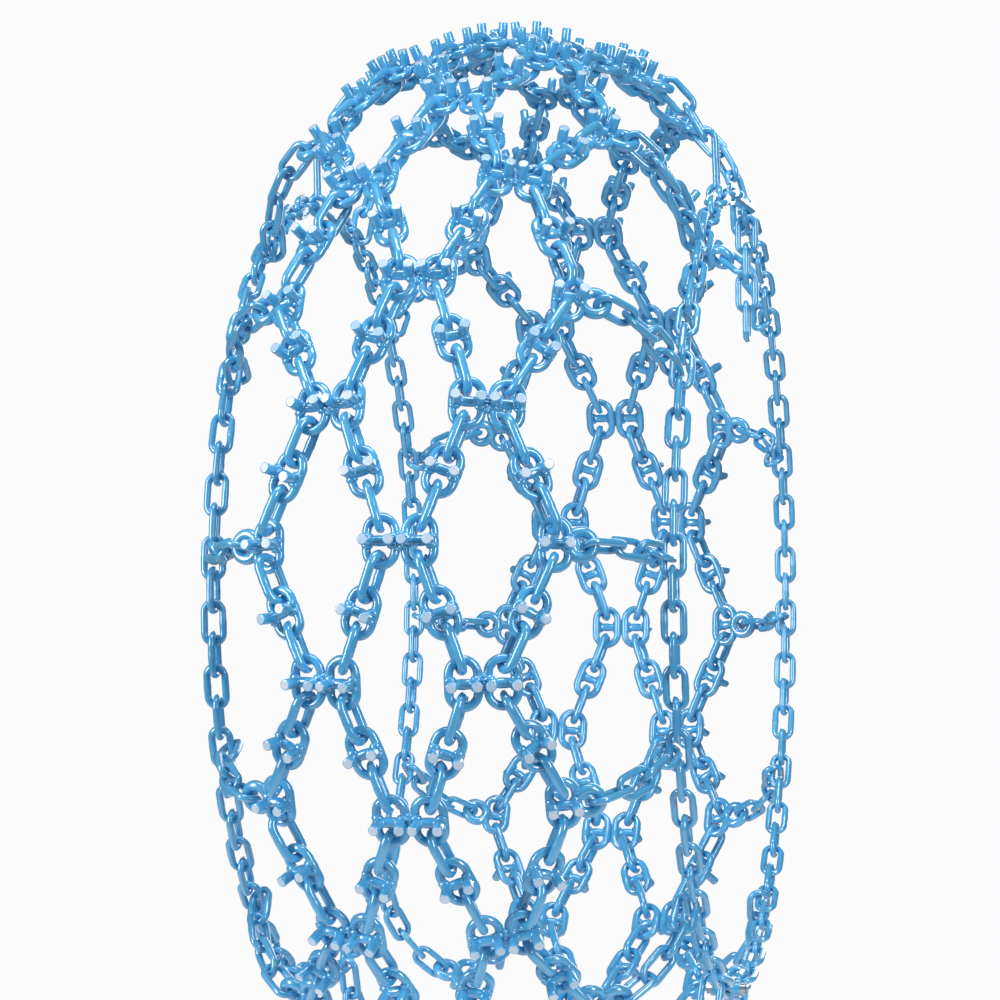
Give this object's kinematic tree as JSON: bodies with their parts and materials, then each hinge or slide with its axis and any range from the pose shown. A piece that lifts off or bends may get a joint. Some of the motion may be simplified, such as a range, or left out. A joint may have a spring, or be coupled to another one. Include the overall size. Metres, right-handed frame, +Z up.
{
  "type": "tire snow chain",
  "caption": "Studded round-link snow chain in the shape it takes on a wide farm or loader tyre, with side arms, side chains, closing hooks, a joining shackle and a spare chain tail.",
  "frame": {"origin": "centre of the wheel, on the axle and in the middle plane of the tyre", "axes": "+Y along the axle to the outboard side of the wheel, +X to the front of the tyre, +Z up"},
  "size_m": [1.3796, 0.5521, 1.378],
  "materials": {
    "enamel": "gloss light blue enamel",
    "bolt_steel": "zinc plated"
  },
  "bodies": {
    "root": {"crown_stud_pairs": "enamel", "left_stud_pairs": "enamel", "right_stud_pairs": "enamel", "left_edge_studs": "enamel", "right_edge_studs": "enamel", "left_outer_links": "enamel", "left_inner_links": "enamel", "right_inner_links": "enamel", "right_outer_links": "enamel", "left_outer_studs": "enamel", "left_inner_studs": "enamel", "right_inner_studs": "enamel", "right_outer_studs": "enamel", "left_arm_01": "enamel", "left_arm_02": "enamel", "left_arm_03": "enamel", "left_arm_04": "enamel", "left_arm_05": "enamel", "left_arm_06": "enamel", "left_arm_07": "enamel", "left_arm_08": "enamel", "left_arm_09": "enamel", "left_arm_10": "enamel", "left_arm_11": "enamel", "left_arm_12": "enamel", "left_arm_13": "enamel", "left_arm_14": "enamel", "right_arm_01": "enamel", "right_arm_02": "enamel", "right_arm_03": "enamel", "right_arm_04": "enamel", "right_arm_05": "enamel", "right_arm_06": "enamel", "right_arm_07": "enamel", "right_arm_08": "enamel", "right_arm_09": "enamel", "right_arm_10": "enamel", "right_arm_11": "enamel", "right_arm_12": "enamel", "right_arm_13": "enamel", "right_arm_14": "enamel", "left_side_chain_flat": "enamel", "left_side_chain_edge": "enamel", "right_side_chain_flat": "enamel", "right_side_chain_edge": "enamel", "shackle_bow": "enamel", "shackle_bolt": "bolt_steel", "shackle_nut": "bolt_steel"},
    "left_arm_hook": {"left_arm_hook": "enamel"},
    "left_closing_hook": {"left_closing_hook": "enamel"},
    "right_arm_hook": {"right_arm_hook": "enamel"},
    "right_closing_hook": {"right_closing_hook": "enamel"},
    "tail_link_1": {"tail_link_1": "enamel"},
    "tail_link_2": {"tail_link_2": "enamel"},
    "tail_link_3": {"tail_link_3": "enamel"},
    "tail_link_4": {"tail_link_4": "enamel"}
  },
  "joints": [
    {"name": "right_closing_hook_swing", "type": "hinge", "parent": "root", "child": "right_closing_hook", "pos_m": [0.00473, 0.257, 0.47851], "axis": [0.0924, 0, -0.9957], "range_deg": [0, 75]},
    {"name": "left_closing_hook_swing", "type": "hinge", "parent": "root", "child": "left_closing_hook", "pos_m": [0.00473, -0.257, 0.47851], "axis": [-0.0924, 0, 0.9957], "range_deg": [0, 75]},
    {"name": "right_arm_hook_swing", "type": "hinge", "parent": "root", "child": "right_arm_hook", "pos_m": [0.06286, 0.2465, 0.47385], "axis": [-0.9913, 0, 0.1315], "range_deg": [0, 60]},
    {"name": "left_arm_hook_swing", "type": "hinge", "parent": "root", "child": "left_arm_hook", "pos_m": [0.06286, -0.2465, 0.47385], "axis": [0.9913, 0, -0.1315], "range_deg": [0, 60]},
    {"name": "tail_link_1_swing", "type": "hinge", "parent": "root", "child": "tail_link_1", "pos_m": [-0.11402, 0.257, 0.45339], "axis": [1, 0, 0], "range_deg": [-25, 25]},
    {"name": "tail_link_2_swing", "type": "hinge", "parent": "tail_link_1", "child": "tail_link_2", "pos_m": [-0.11402, 0.257, 0.41762], "axis": [0, 1, 0], "range_deg": [-25, 25]},
    {"name": "tail_link_3_swing", "type": "hinge", "parent": "tail_link_2", "child": "tail_link_3", "pos_m": [-0.11402, 0.257, 0.38184], "axis": [1, 0, 0], "range_deg": [-25, 25]},
    {"name": "tail_link_4_swing", "type": "hinge", "parent": "tail_link_3", "child": "tail_link_4", "pos_m": [-0.11402, 0.257, 0.34607], "axis": [0, 1, 0], "range_deg": [-25, 25]}
  ]
}
